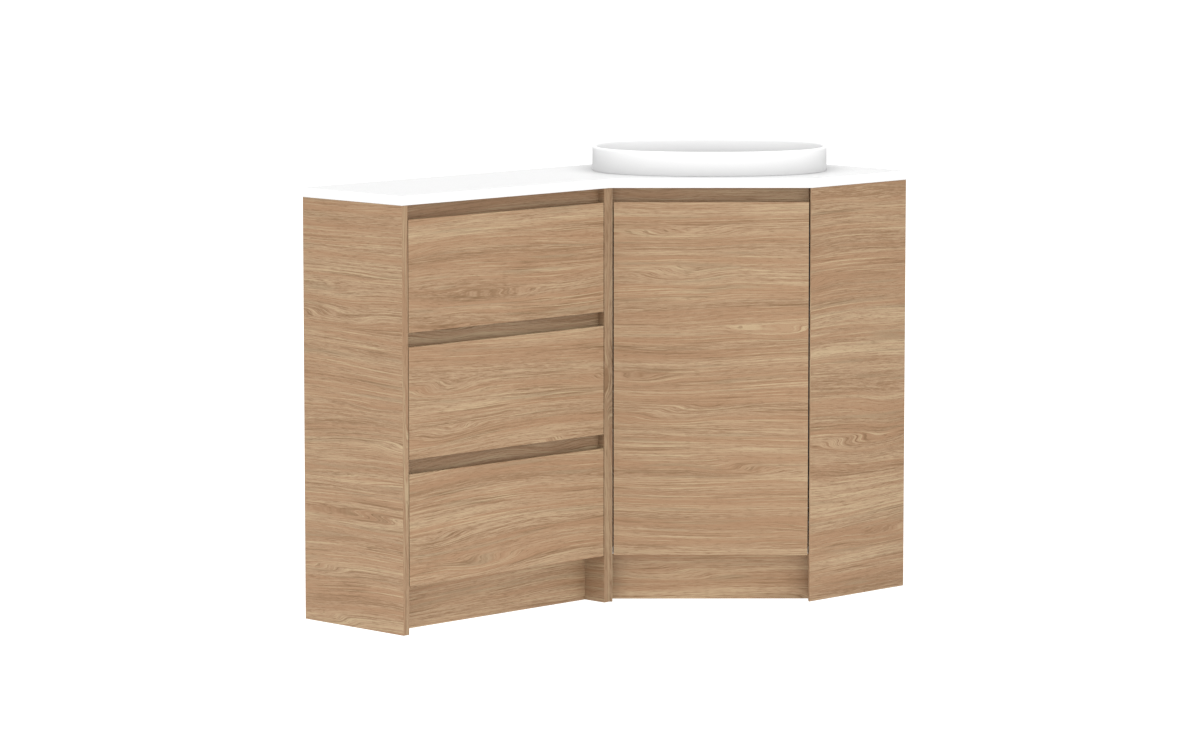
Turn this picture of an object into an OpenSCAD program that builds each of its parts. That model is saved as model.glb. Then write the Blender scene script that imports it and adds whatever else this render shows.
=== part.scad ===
// Corner vanity unit: three drawers along the back wall, a door across the corner,
// a stone top on a board carcass and an oval basin let into the stone.
// Millimetres, +Z up. +X runs right along the back wall, +Y points into that wall.
// The origin is under the middle of the plan, on the floor.

/* [Plan] */
// Length of the drawer bank along the back wall
bank_length = 600; // [450:10:900]
// Depth of the stone top over the drawer bank
bank_depth = 300; // [290:5:400]
// Leg of the 45 degree corner cut, along each wall
corner_leg = 300; // [280:5:360]
// Width of the right end face, from the corner cut to the side wall
end_width = 300; // [290:5:400]
// Overhang of the stone past the boards
stone_overhang = 2; // [0.5:0.5:6]

/* [Heights] */
// Height of the boards, from the floor to the underside of the stone
carcass_height = 880; // [860:10:960]
// Thickness of the stone top
stone_thickness = 20; // [12:1:40]
// Height of the toe space under the fronts
kick_height = 100; // [80:5:150]
// Height of the finger gap over each front
finger_gap = 30; // [24:1:40]

/* [Boards] */
// Thickness of the carcass boards, the fronts and the door
board = 16; // [15:1:19]
// Gap at each side of a drawer front
front_side_gap = 2; // [1:0.5:4]
// Running gap behind the fronts and the door
front_back_gap = 1.5; // [1:0.25:3]
// Height of the finger rails between the drawers
finger_rail_height = 56; // [46:1:60]
// Height of the finger rails under the stone
top_rail_height = 80; // [60:1:84]
// Depth of the grip bevel on the back of a front's top edge
grip_depth = 10; // [6:0.5:12]
// Height of that grip bevel
grip_height = 16; // [10:1:24]
// Set-back of the drawer bank's kickboard from the fronts
bank_kick_setback = 58; // [30:1:90]
// Set-back of the corner kickboard from the door's face
corner_kick_setback = 40; // [30:1:90]
// Height of the wall fixing rails under the stone
wall_rail_height = 100; // [60:5:140]
// Height of the rails along the foot of the cupboard's two backs
foot_rail_height = 60; // [40:5:90]
// Thickness of the back sheets, tacked to the inside of the rails
back_sheet = 3; // [2.5:0.5:6]
// Width of the back sheet's lap on the wall fixing rail
sheet_lap = 25; // [15:1:40]
// Width of the cut-out for the pipes in the back sheet
service_width = 150; // [100:5:180]
// Height of that cut-out
service_height = 380; // [200:10:400]
// Distance from the side sheet to the cut-out
service_inset = 57; // [40:1:90]
// Height of the cut-out's lower edge over the cupboard floor
service_lift = 190; // [100:10:200]

/* [Corner door] */
// Width of the left gable's edge that shows in the door's plane
left_nib = 6; // [3:0.5:10]
// Width of the right end board's edge that shows in the door's plane
right_nib = 2.3; // [1.5:0.1:5]
// Gap between the door and the left gable
door_left_gap = 2.5; // [1.5:0.25:4]
// Gap between the door and the right end board, at the hinges
door_right_gap = 3; // [2:0.25:4]
// Distance from the door's ends to the middle of each hinge
hinge_inset = 95; // [70:5:140]
// Radius of the hinge cup bored into the door
cup_radius = 17.5; // [17.5:0.5:20]
// Depth of the hinge cup in the door
cup_depth = 11.5; // [10:0.25:12]
// Solid edge left between the cup and the door's edge
cup_edge = 4.5; // [3:0.25:6]
// Length of the hinge arm along the end board
hinge_arm_length = 72; // [60:1:90]

/* [Drawers] */
// Clearance between the back of a drawer box and the back of the bank
box_back_gap = 16; // [8:1:40]
// Height of the drawer box sides
box_height = 150; // [110:5:170]
// Height from the bottom of a front to the bottom of its box
box_lift = 22; // [20:1:30]
// Thickness of the box sides and back
box_board = 12; // [10:1:16]
// Thickness of the box base
base_sheet = 6; // [3:0.5:8]
// Depth of the groove that holds the base
base_groove = 5; // [3:0.5:7]
// Height of the groove over the bottom of the sides
base_groove_lift = 10; // [6:1:16]
// Clearance of the base in its grooves
base_clearance = 0.25; // [0.1:0.05:0.5]

/* [Runners] */
// Side space that a runner fills, between box and gable
runner_width = 12.5; // [12:0.25:14]
// Height of a runner's cabinet member
runner_height = 35; // [30:1:45]
// Clearance between the end of a runner and the back of the bank
runner_back_gap = 17; // [8:1:40]
// Sheet thickness of the runner members
runner_sheet = 1.2; // [0.8:0.1:1.5]
// Diameter of the bearing balls
ball_size = 3.9; // [3:0.1:5]
// Clearance over and under the balls
ball_clearance = 0.2; // [0.1:0.05:0.3]
// Balls in each row
balls_per_row = 4; // [2:1:5]
// Distance between the balls in a row
ball_pitch = 16; // [10:1:18]
// Height of the runner's middle over the bottom of the box
runner_lift = 45; // [30:1:80]

/* [Basin] */
// Length of the basin, across the corner
basin_length = 503; // [420:1:520]
// Depth of the basin, from the door to the corner
basin_depth = 400; // [340:5:420]
// Height of the rim over the stone
basin_rise = 52; // [40:1:80]
// Depth of the bowl, from the rim to the floor at the waste
bowl_depth = 130; // [110:5:150]
// Wall thickness of the rim
rim_wall = 9; // [7:0.5:13]
// Wall thickness of the bowl
bowl_wall = 10; // [8:0.5:12]
// Roundness of the plan: 2 is an ellipse, more is squarer
plan_power = 2.3; // [2:0.1:3]
// Distance from the door's plane to the middle of the basin
basin_setback = 247; // [240:1:290]
// Distance from the middle of the door to the middle of the basin, to the right
basin_shift = 3.5; // [-10:0.5:10]
// Clearance of the bowl in the stone's cut-out
cutout_clearance = 2; // [1:0.5:4]
// Radius of the flat floor at the waste
outlet_flat = 38; // [36:1:44]
// Radius of the waste hole
outlet_radius = 22.5; // [22:0.25:24]

/* [Waste] */
// Outer radius of the waste's threaded body, for a G 1 1/4 trap
waste_radius = 20.95; // [20:0.05:21.5]
// Wall thickness of the waste's body
waste_wall = 2.5; // [2:0.25:4]
// Length of the waste's free tail, which the trap goes over
waste_tail_length = 45; // [30:1:60]
// Radius of the waste's flange
flange_radius = 33; // [30:0.5:34]
// Thickness of the flange
flange_thickness = 2; // [1.5:0.25:3]
// Length of the waste's body under the basin's floor
waste_drop = 78; // [60:1:100]
// Radius of the domed plug
plug_radius = 27; // [24.5:0.5:29]
// Radius of the plug's stem
stem_radius = 4; // [3:0.25:5]
// Running clearance of the stem in its guide, on the radius
stem_clearance = 0.05; // [0.02:0.01:0.1]
// Distance that the plug rises when it is pressed open
plug_travel = 9; // [6:0.5:12]
// Thickness of the rubber washer under the basin
washer_thickness = 4; // [2:0.5:6]
// Height of the back nut
nut_height = 9; // [6:0.5:14]
// Distance across the back nut's flats
nut_flats = 56; // [52:1:64]

/* [Fixings] */
// Radius of the wall screw holes in the rails
wall_hole = 3; // [2:0.25:4]
// Distance between the two wall screws of a rail
wall_hole_pitch = 400; // [200:10:420]
// Radius of a leg's tube
leg_radius = 15; // [12:1:20]
// Radius of a leg's foot
foot_radius = 25; // [22:1:30]
// Thickness of a leg's top plate
leg_plate = 6; // [4:0.5:8]
// Inset of the legs from the walls
leg_inset = 50; // [35:5:80]

/* [Hidden] */

$fn = 64;
// Lets a cut run past both faces of what it cuts
cut = 1;

oak = "#B89878";
white_board = "#F2F1ED";
stone_white = "#FAFAF8";
ceramic_white = "#FDFDFD";
chrome = "#C9CCCF";
steel = "#B4B8BB";
black_rubber = "#2B2B2B";
clear_pad = "#DDE2E4";
dark_plastic = "#3A3A3C";

// Plan, from the driving lengths
total_x = bank_length + corner_leg + end_width;
total_y = bank_depth + corner_leg;
x_left = -total_x / 2;
x_right = total_x / 2;
y_wall = total_y / 2;
y_low = -total_y / 2;
x_corner = x_left + bank_length;
x_end = x_corner + corner_leg;
y_bank = y_wall - bank_depth;

// Faces of the boards
x_panel = x_left + stone_overhang;
y_front = y_bank + stone_overhang;
y_end = y_low + stone_overhang;
bank_in_left = x_panel + board;
bank_in_right = x_corner - board;
y_rail = y_front + board + front_back_gap;
y_end_in = y_end + board;
x_gable_in = x_corner + board;
x_sheet = x_right - board - back_sheet;

// Heights
stone_top = carcass_height + stone_thickness;
drawer_count = 3;
front_pitch = (carcass_height - kick_height) / drawer_count;
front_height = front_pitch - finger_gap;
door_height = carcass_height - kick_height - finger_gap;
floor_top = kick_height + board;
sheet_top = carcass_height - wall_rail_height + sheet_lap;

// Door's plane: u runs along it to the right, w runs into the cupboard
diagonal = corner_leg * sqrt(2);
u_door = left_nib + door_left_gap;
u_hinge = diagonal - right_nib - door_right_gap;
w_rail = board + front_back_gap;
hinge_heights = [kick_height + hinge_inset, kick_height + door_height - hinge_inset];

// Concealed hinge: its leaves are arcs about the door's front arris
link_inner = 18.6;
link_sheet = 3;
leaf_gap = 0.5;
arm_sheet = 2.8;
link_angles = [85, 155];
arm_angles = [88, 150];
link_height = 9;
arm_height = 14;
cup_wall = 1.2;
cup_flange = 1.2;
cup_flange_width = 28;
cup_flange_height = 47;
cup_bore_gap = 0.2;
plate_height = 52;
plate_length = 34;
plate_sheet = 2;
plate_hole = 2;
arm_rise = 7;
arm_inner = link_inner + link_sheet + leaf_gap;
// Row x where the curved tongue meets the end board's arm
arm_start = x_corner + (u_hinge + arm_inner * (cos(arm_angles[0]) + sin(arm_angles[0]))) * sin(45) + leaf_gap;

// Drawer box and runners
box_left = bank_in_left + runner_width;
box_right = bank_in_right - runner_width;
y_box = y_front + board;
y_bank_back = y_wall - board;
box_depth = y_bank_back - box_back_gap - y_box;
runner_start = 3;
runner_length = y_bank_back - runner_back_gap - y_box - runner_start;
rail_flange = 9.5;
slide_gap = 3;
flange_reach = runner_height / 2 - runner_sheet;
slide_half = flange_reach - ball_size - 2 * ball_clearance;
ball_track = flange_reach - ball_clearance - ball_size / 2;
cage_sheet = 0.8;
cage_gap = 0.5;
cage_end = 6;
cage_length = ball_pitch * (balls_per_row - 1) + 2 * cage_end;
slide_setback = 3;
slide_length = runner_length - slide_setback;
// The cage starts midway between its stops and moves half as far as the drawer, so the
// drawer can open by slide_length - cage_length - 2 * runner_sheet
cage_start = (slide_length - cage_length) / 2;
stop_half = 6;
rail_stop_reach = 5;
slide_stop_gap = 0.3;
ball_hole_gap = 0.15;
ball_seat = 6;

// Basin: rings of points from the waste floor up
ring_points = 64;
bowl_steps = 11;
lip_steps = 6;
rim_height = stone_top + basin_rise;
half_length = basin_length / 2;
half_depth = basin_depth / 2;
lip_height = rim_height - rim_wall / 2;
bowl_floor = rim_height - bowl_depth;
bowl_sweep = lip_height - bowl_floor;
ledge_cos = (lip_height - stone_top) / (bowl_sweep + bowl_wall);
ledge_angle = acos(ledge_cos);
inner_length = half_length - rim_wall;
inner_depth = half_depth - rim_wall;
basin_underside = bowl_floor - bowl_wall;
basin_u = diagonal / 2 + basin_shift;
flange_sink = 1;
flange_gap = 1;

// Waste
nut_gap = 0.4;
body_step = 0.5;
body_radius = waste_radius + body_step;
bridge_height = 8;
bridge_width = 9;
washer_lap = 6;
washer_radius = outlet_radius + washer_lap;
plug_height = 5;
plug_gap = 0.4;
waste_tail = bowl_floor - waste_drop;

// Wall screws and legs
hole_drop = 30;
bumper_radius = 4;
bumper_inset = 22;
bumper_gap = 0.3;
foot_height = 10;
leg_thread = 5;

// A power that keeps the sign of its base
function signed_power(base, power) = sign(base) * pow(abs(base), power);

// One point of an oval with half axes a and b, at angle t
function oval_point(a, b, power, t) =
  [a * signed_power(cos(t), 2 / power), b * signed_power(sin(t), 2 / power)];

// The whole oval as a list of plan points
function oval(a, b, power) =
  [for (i = [0:ring_points - 1]) oval_point(a, b, power, 360 * i / ring_points)];

// An oval ring of the bowl at angle q of its quarter ellipse, pushed out by wall
function bowl_ring(q, wall) =
  let (
    a = outlet_flat + (inner_length - outlet_flat) * sin(q) + wall * sin(q),
    b = outlet_flat + (inner_depth - outlet_flat) * sin(q) + wall * sin(q),
    power = 2 + (plan_power - 2) * sin(q),
    z = bowl_floor + bowl_sweep * (1 - cos(q)) - wall * cos(q)
  )
  [for (p = oval(a, b, power)) [p.x, p.y, z]];

// An oval ring at the outer wall or round the lip
function wall_ring(inset, z) =
  [for (p = oval(half_length - inset, half_depth - inset, plan_power)) [p.x, p.y, z]];

// Places a part in the door's frame, on the cut corner
module on_door() {
  translate([x_corner, y_front, 0]) rotate([0, 0, -45]) children();
}

// Puts a part at the middle of the basin, its length across the corner
module at_basin() {
  on_door() translate([basin_u, basin_setback - stone_overhang * sin(45), 0]) children();
}

// A box from one corner to the opposite one
module block(low, high) {
  translate(low) cube(high - low);
}

// Section of a front with its grip bevel: x runs in from the face, y runs up
module front_section(height) {
  polygon([
    [0, 0], [board, 0], [board, height - grip_height], [board - grip_depth, height], [0, height]
  ]);
}

// A front standing on the floor line, its face on the x axis
module front_board(length, height) {
  rotate([90, 0, 90]) linear_extrude(length) front_section(height);
}

/* Stone and basin */

module benchtop() {
  color(stone_white) difference() {
    translate([0, 0, carcass_height]) linear_extrude(stone_thickness) polygon([
      [x_left, y_wall], [x_left, y_bank], [x_corner, y_bank],
      [x_end, y_low], [x_right, y_low], [x_right, y_wall]
    ]);
    at_basin() translate([0, 0, carcass_height - cut])
      linear_extrude(stone_thickness + 2 * cut) polygon(oval(
        outlet_flat + (inner_length - outlet_flat + bowl_wall) * sin(ledge_angle) + cutout_clearance,
        outlet_flat + (inner_depth - outlet_flat + bowl_wall) * sin(ledge_angle) + cutout_clearance,
        plan_power));
  }
}

// Closed shell of the basin: under the bowl, out over the stone, up the wall, over the lip
// and down into the bowl
module basin_shell() {
  outer = [for (i = [0:bowl_steps]) bowl_ring(ledge_angle * i / bowl_steps, bowl_wall)];
  wall = [wall_ring(0, stone_top)];
  lip = [for (i = [0:lip_steps])
    let (t = 180 * i / lip_steps)
    wall_ring(rim_wall / 2 * (1 - cos(t)), lip_height + rim_wall / 2 * sin(t))];
  inner = [for (i = [1:bowl_steps + 1]) bowl_ring(90 * (1 - i / (bowl_steps + 1)), 0)];
  rings = concat(outer, wall, lip, inner);
  last = len(rings) - 1;
  polyhedron(
    points = [for (ring = rings) for (p = ring) p],
    faces = concat(
      [[for (i = [0:ring_points - 1]) i]],
      [for (r = [0:last - 1]) for (i = [0:ring_points - 1])
        let (j = (i + 1) % ring_points)
        [r * ring_points + i, (r + 1) * ring_points + i, (r + 1) * ring_points + j]],
      [for (r = [0:last - 1]) for (i = [0:ring_points - 1])
        let (j = (i + 1) % ring_points)
        [r * ring_points + i, (r + 1) * ring_points + j, r * ring_points + j]],
      [[for (i = [ring_points - 1:-1:0]) last * ring_points + i]]
    )
  );
}

module basin() {
  color(ceramic_white) at_basin() difference() {
    basin_shell();
    translate([0, 0, basin_underside - cut]) cylinder(r = outlet_radius, h = bowl_depth);
    translate([0, 0, bowl_floor - flange_sink]) cylinder(r = flange_radius + flange_gap, h = bowl_depth);
  }
}

// Flanged tube with a bridge across it that guides the plug's stem
module waste_body() {
  bore = waste_radius - waste_wall;
  flange_bottom = bowl_floor - flange_sink;
  bridge_top = flange_bottom - bridge_height;
  color(chrome) at_basin() difference() {
    union() {
      difference() {
        union() {
          translate([0, 0, waste_tail]) cylinder(r = waste_radius, h = waste_tail_length);
          translate([0, 0, waste_tail + waste_tail_length])
            cylinder(r = body_radius, h = flange_bottom - waste_tail - waste_tail_length);
          translate([0, 0, flange_bottom]) cylinder(r = flange_radius, h = flange_thickness);
        }
        translate([0, 0, waste_tail - cut]) cylinder(r = bore, h = waste_drop + flange_thickness + 2 * cut);
      }
      intersection() {
        translate([0, 0, bridge_top - bridge_height]) cylinder(r = bore + waste_wall / 2, h = bridge_height);
        block([-waste_radius, -bridge_width / 2, bridge_top - bridge_height],
              [waste_radius, bridge_width / 2, bridge_top]);
      }
      translate([0, 0, bridge_top - bridge_height])
        cylinder(r = stem_radius + waste_wall, h = bridge_height);
    }
    translate([0, 0, bridge_top - bridge_height - cut])
      cylinder(r = stem_radius + stem_clearance, h = bridge_height + 2 * cut);
  }
}

// Domed plug on its stem: a disc with a rounded edge over the flange
module waste_plug() {
  flange_top = bowl_floor - flange_sink + flange_thickness;
  stem_bottom = flange_top - 4 * bridge_height;
  color(chrome) at_basin() {
    translate([0, 0, flange_top + plug_gap]) rotate_extrude() union() {
      square([plug_radius - plug_height / 2, plug_height]);
      translate([plug_radius - plug_height / 2, plug_height / 2])
        intersection() {
          circle(r = plug_height / 2, $fn = 32);
          translate([0, -plug_height]) square(2 * plug_height);
        }
    }
    translate([0, 0, stem_bottom]) cylinder(r = stem_radius, h = flange_top + plug_gap - stem_bottom);
  }
}

module waste_washer() {
  color(black_rubber) at_basin() translate([0, 0, basin_underside - washer_thickness]) difference() {
    cylinder(r = washer_radius, h = washer_thickness);
    translate([0, 0, -cut]) cylinder(r = body_radius + nut_gap, h = washer_thickness + 2 * cut);
  }
}

module waste_nut() {
  color(chrome) at_basin()
    translate([0, 0, basin_underside - washer_thickness - nut_height]) difference() {
      cylinder(d = nut_flats / cos(30), h = nut_height, $fn = 6);
      translate([0, 0, -cut]) cylinder(r = body_radius + nut_gap, h = nut_height + 2 * cut);
    }
}

/* Drawer bank carcass */

module left_end_panel() {
  color(oak) block([x_panel, y_front, 0], [bank_in_left, y_wall, carcass_height]);
}

module bank_gable() {
  color(oak) block([bank_in_right, y_front, 0], [x_corner, y_wall, carcass_height]);
}

module bank_bottom() {
  color(white_board) block([bank_in_left, y_rail, kick_height], [bank_in_right, y_wall - board, floor_top]);
}

// Back board with its two wall screw holes
module bank_back() {
  middle = (bank_in_left + bank_in_right) / 2;
  color(white_board) difference() {
    block([bank_in_left, y_wall - board, 0], [bank_in_right, y_wall, carcass_height]);
    for (side = [-1, 1])
      translate([middle + side * wall_hole_pitch / 2, y_wall + cut, carcass_height - hole_drop])
        rotate([90, 0, 0]) cylinder(r = wall_hole, h = board + 2 * cut, $fn = 32);
  }
}

module bank_kickboard() {
  y_kick = y_front + bank_kick_setback;
  color(oak) block([bank_in_left, y_kick, 0], [bank_in_right, y_kick + board, kick_height]);
}

module bank_rail(low, high) {
  color(oak) block([bank_in_left, y_rail, low], [bank_in_right, y_rail + board, high]);
}

module finger_rail_top() {
  bank_rail(carcass_height - top_rail_height, carcass_height);
}

// Rail behind the finger gap over drawer number i, counted from the top
module finger_rail(i) {
  gap_middle = front_bottom(i) + front_height + finger_gap / 2;
  bank_rail(gap_middle - finger_rail_height / 2, gap_middle + finger_rail_height / 2);
}

/* Corner carcass */

// Gable whose front edge is cut square to the door
module corner_gable() {
  nib = left_nib * sin(45);
  color(oak) linear_extrude(carcass_height) polygon([
    [x_corner, y_front], [x_corner + nib, y_front - nib],
    [x_gable_in, y_front - nib + board - nib], [x_gable_in, y_wall], [x_corner, y_wall]
  ]);
}

// End board whose left edge is cut square to the door
module right_end_panel() {
  nib = right_nib * sin(45);
  color(oak) linear_extrude(carcass_height) polygon([
    [x_end, y_end], [x_right, y_end], [x_right, y_end_in],
    [x_end - nib + board - nib, y_end_in], [x_end - nib, y_end + nib]
  ]);
}

module corner_bottom() {
  edge = x_corner + y_front + w_rail / sin(45);
  color(white_board) translate([0, 0, kick_height]) linear_extrude(board) polygon([
    [x_gable_in, edge - x_gable_in], [edge - y_end_in, y_end_in], [x_right, y_end_in],
    [x_right, y_wall], [x_gable_in, y_wall]
  ]);
}

// Plan of a board behind the door, from depth w, between the two gables
module behind_door(w) {
  near = x_corner + y_front + w / sin(45);
  far = near + board / sin(45);
  polygon([
    [x_gable_in, near - x_gable_in], [near - y_end_in, y_end_in],
    [far - y_end_in, y_end_in], [x_gable_in, far - x_gable_in]
  ]);
}

module corner_finger_rail() {
  color(oak) translate([0, 0, carcass_height - top_rail_height])
    linear_extrude(top_rail_height) behind_door(w_rail);
}

module corner_kickboard() {
  color(oak) linear_extrude(kick_height) behind_door(corner_kick_setback);
}

// Two wall screw holes through a rail, pointing along +Y
module wall_holes(middle, face, height) {
  for (side = [-1, 1])
    translate([middle + side * wall_hole_pitch / 2, face + cut, height])
      rotate([90, 0, 0]) cylinder(r = wall_hole, h = board + 2 * cut, $fn = 32);
}

module wall_rail_back() {
  color(white_board) difference() {
    block([x_gable_in, y_wall - board, carcass_height - wall_rail_height],
          [x_right - board, y_wall, carcass_height]);
    wall_holes((x_gable_in + x_right - board) / 2, y_wall, carcass_height - hole_drop);
  }
}

module wall_rail_side() {
  color(white_board) difference() {
    block([x_right - board, y_end_in, carcass_height - wall_rail_height],
          [x_right, y_wall, carcass_height]);
    translate([x_right, (y_end_in + y_wall) / 2, 0]) rotate([0, 0, -90])
      wall_holes(0, 0, carcass_height - hole_drop);
  }
}

module foot_rail_back() {
  color(white_board) block([x_gable_in, y_wall - board, floor_top],
                           [x_right - board, y_wall, floor_top + foot_rail_height]);
}

module foot_rail_side() {
  color(white_board) block([x_right - board, y_end_in, floor_top],
                           [x_right, y_wall, floor_top + foot_rail_height]);
}

// Back sheet along the back wall, with the cut-out for the pipes
module corner_back_sheet() {
  y_inside = y_wall - board - back_sheet;
  service_right = x_sheet - service_inset;
  color(white_board) difference() {
    block([x_gable_in, y_inside, floor_top], [x_sheet, y_wall - board, sheet_top]);
    block([service_right - service_width, y_inside - cut, floor_top + service_lift],
          [service_right, y_wall - board + cut, floor_top + service_lift + service_height]);
  }
}

module corner_side_sheet() {
  color(white_board) block([x_sheet, y_end_in, floor_top], [x_right - board, y_wall - board, sheet_top]);
}

// Screw foot, tube and top plate of one levelling leg
module leg() {
  rotate_extrude() polygon([
    [0, 0], [foot_radius, 0], [foot_radius, foot_height / 2], [foot_radius - foot_height / 2, foot_height],
    [leg_radius - leg_thread, foot_height], [leg_radius - leg_thread, 2 * foot_height],
    [leg_radius, 2 * foot_height], [leg_radius, kick_height - leg_plate],
    [foot_radius, kick_height - leg_plate], [foot_radius, kick_height], [0, kick_height]
  ]);
}

module levelling_legs() {
  color(dark_plastic) for (p = [
    [x_right - leg_inset, y_wall - leg_inset],
    [x_gable_in + leg_inset, y_wall - leg_inset],
    [x_right - leg_inset, y_end_in + leg_inset]
  ]) translate([p.x, p.y, 0]) leg();
}

/* Door and its hinges */

module door() {
  color(oak) on_door() difference() {
    translate([u_door, 0, kick_height]) front_board(u_hinge - u_door, door_height);
    for (z = hinge_heights) cup_place(z)
      translate([0, 0, -cut]) cylinder(r = cup_radius, h = cup_depth + cut);
  }
}

// Places a part on the back of the door at a hinge cup: its z axis runs into the door
module cup_place(z) {
  translate([u_hinge - cup_edge - cup_radius, board, z]) rotate([90, 0, 0]) children();
}

module door_bumpers() {
  grip_bottom = kick_height + door_height - grip_height;
  rail_bottom = carcass_height - top_rail_height;
  color(clear_pad) on_door() for (z = [kick_height + board / 2, (grip_bottom + rail_bottom) / 2])
    translate([u_door + bumper_inset, board + front_back_gap - bumper_gap, z]) rotate([90, 0, 0])
      cylinder(r = bumper_radius, h = front_back_gap - bumper_gap, $fn = 32);
}

// Dish of the cup in the door's bore, with its screwed flange on the door's back
module hinge_cups() {
  bore = cup_radius - cup_bore_gap;
  inner = bore - cup_wall;
  color(steel) on_door() for (z = hinge_heights) cup_place(z) difference() {
    union() {
      cylinder(r = bore, h = cup_depth - cup_bore_gap);
      translate([-cup_flange_width / 2, -cup_flange_height / 2, -cup_flange])
        cube([cup_flange_width, cup_flange_height, cup_flange]);
      translate([0, 0, -cup_flange]) cylinder(r = cup_radius, h = cup_flange);
    }
    translate([0, 0, -cup_flange - cut]) cylinder(r = inner, h = cup_depth + cut - cup_wall);
  }
}

// Part of a ring about the hinge axis, between two angles from the door's face
module arc_leaf(radius, sheet, span, height) {
  far = 4 * radius;
  middle = (span[0] + span[1]) / 2;
  linear_extrude(height, center = true) intersection() {
    difference() {
      circle(r = radius + sheet);
      circle(r = radius);
    }
    polygon([
      [0, 0], far * [cos(span[0]), sin(span[0])], far * [cos(middle), sin(middle)],
      far * [cos(span[1]), sin(span[1])]
    ]);
  }
}

module hinge_links() {
  color(steel) on_door() for (z = hinge_heights)
    translate([u_hinge, 0, z]) arc_leaf(link_inner, link_sheet, link_angles, link_height);
}

// Curved tongue that reaches into the cup, and the arm that it grows from along the end board
module hinge_arms() {
  color(steel) for (z = hinge_heights) {
    on_door() translate([u_hinge, 0, z]) arc_leaf(arm_inner, arm_sheet, arm_angles, arm_height);
    translate([arm_start, y_end_in + plate_sheet, z - arm_height / 2])
      cube([hinge_arm_length, arm_rise, arm_height]);
  }
}

module hinge_plates() {
  color(steel) for (z = hinge_heights) difference() {
    translate([arm_start + hinge_arm_length - plate_length, y_end_in, z - plate_height / 2])
      cube([plate_length, plate_sheet, plate_height]);
    for (side = [-1, 1])
      translate([arm_start + hinge_arm_length - plate_length / 2, y_end_in + plate_sheet + cut,
                 z + side * plate_height / 3])
        rotate([90, 0, 0]) cylinder(r = plate_hole, h = plate_sheet + 2 * cut, $fn = 24);
  }
}

/* Drawers, counted from the top */

// Bottom of the front of drawer number i
function front_bottom(i) = kick_height + (drawer_count - i) * front_pitch;

// Bottom of the box of drawer number i
function box_bottom(i) = front_bottom(i) + box_lift;

module drawer_front(i) {
  color(oak) translate([bank_in_left + front_side_gap, y_front, front_bottom(i)])
    front_board(bank_in_right - bank_in_left - 2 * front_side_gap, front_height);
}

// Box side with the groove for the base; side is -1 on the left and 1 on the right
module drawer_side(i, side) {
  face = side < 0 ? box_left : box_right - box_board;
  groove = side < 0 ? face + box_board - base_groove : face - cut;
  color(white_board) difference() {
    block([face, y_box, box_bottom(i)], [face + box_board, y_box + box_depth, box_bottom(i) + box_height]);
    block([groove, y_box - cut, box_bottom(i) + base_groove_lift],
          [groove + base_groove + cut, y_box + box_depth + cut,
           box_bottom(i) + base_groove_lift + base_sheet + 2 * base_clearance]);
  }
}

module drawer_back(i) {
  color(white_board) block(
    [box_left + box_board, y_box + box_depth - box_board,
     box_bottom(i) + base_groove_lift + base_sheet + 2 * base_clearance],
    [box_right - box_board, y_box + box_depth, box_bottom(i) + box_height]);
}

module drawer_base(i) {
  reach = base_groove - base_clearance;
  color(white_board) block(
    [box_left + box_board - reach, y_box, box_bottom(i) + base_groove_lift + base_clearance],
    [box_right - box_board + reach, y_box + box_depth,
     box_bottom(i) + base_groove_lift + base_clearance + base_sheet]);
}

// Places a left-hand runner part at its gable and its mirror image at the other gable
module both_runners(i) {
  middle = (bank_in_left + bank_in_right) / 2;
  translate([middle, 0, box_bottom(i) + runner_lift]) for (side = [0, 1])
    mirror([side, 0, 0]) translate([bank_in_left - middle, y_box + runner_start, 0]) children();
}

// A channel section drawn upright and run along +Y
module channel(points, length) {
  translate([0, length, 0]) rotate([90, 0, 0]) linear_extrude(length) polygon(points);
}

// Cabinet member, screwed to the gable, with the tab at its front end that stops the cage
module runner_rails(i) {
  half = runner_height / 2;
  color(steel) both_runners(i) {
    channel([
      [0, -half], [rail_flange, -half], [rail_flange, -flange_reach], [runner_sheet, -flange_reach],
      [runner_sheet, flange_reach], [rail_flange, flange_reach], [rail_flange, half], [0, half]
    ], runner_length);
    block([0, 0, -stop_half], [rail_stop_reach, runner_sheet, stop_half]);
  }
}

// Drawer member, screwed to the box side, with the tab at its back end that stops the cage
module drawer_slides(i) {
  web = runner_width - runner_sheet;
  lip = slide_half - runner_sheet;
  color(steel) both_runners(i) {
    channel([
      [runner_width, -slide_half], [slide_gap, -slide_half], [slide_gap, -lip], [web, -lip],
      [web, lip], [slide_gap, lip], [slide_gap, slide_half], [runner_width, slide_half]
    ], slide_length);
    block([runner_sheet + slide_stop_gap, slide_length - runner_sheet, -stop_half],
          [runner_width, slide_length, stop_half]);
  }
}

// Ball cage: a bent strip with a row of balls above and below the drawer member
module runner_cages(i) {
  web = runner_sheet + cage_gap;
  half = ball_track + cage_sheet / 2;
  inner = ball_track - cage_sheet / 2;
  edge = rail_flange - cage_gap;
  color(steel) both_runners(i) translate([0, cage_start, 0]) {
    difference() {
      channel([
        [web, -half], [edge, -half], [edge, -inner], [web + cage_sheet, -inner],
        [web + cage_sheet, inner], [edge, inner], [edge, half], [web, half]
      ], cage_length);
      for (b = [0:balls_per_row - 1])
        translate([ball_seat, ball_at(b), -half - cut])
          cylinder(r = ball_size / 2 + ball_hole_gap, h = 2 * half + 2 * cut, $fn = 24);
    }
    for (b = [0:balls_per_row - 1]) for (side = [-1, 1])
      translate([ball_seat, ball_at(b), side * ball_track]) sphere(d = ball_size, $fn = 24);
  }
}

// Place of ball number b along its cage
function ball_at(b) = cage_length / 2 + (b - (balls_per_row - 1) / 2) * ball_pitch;

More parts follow.
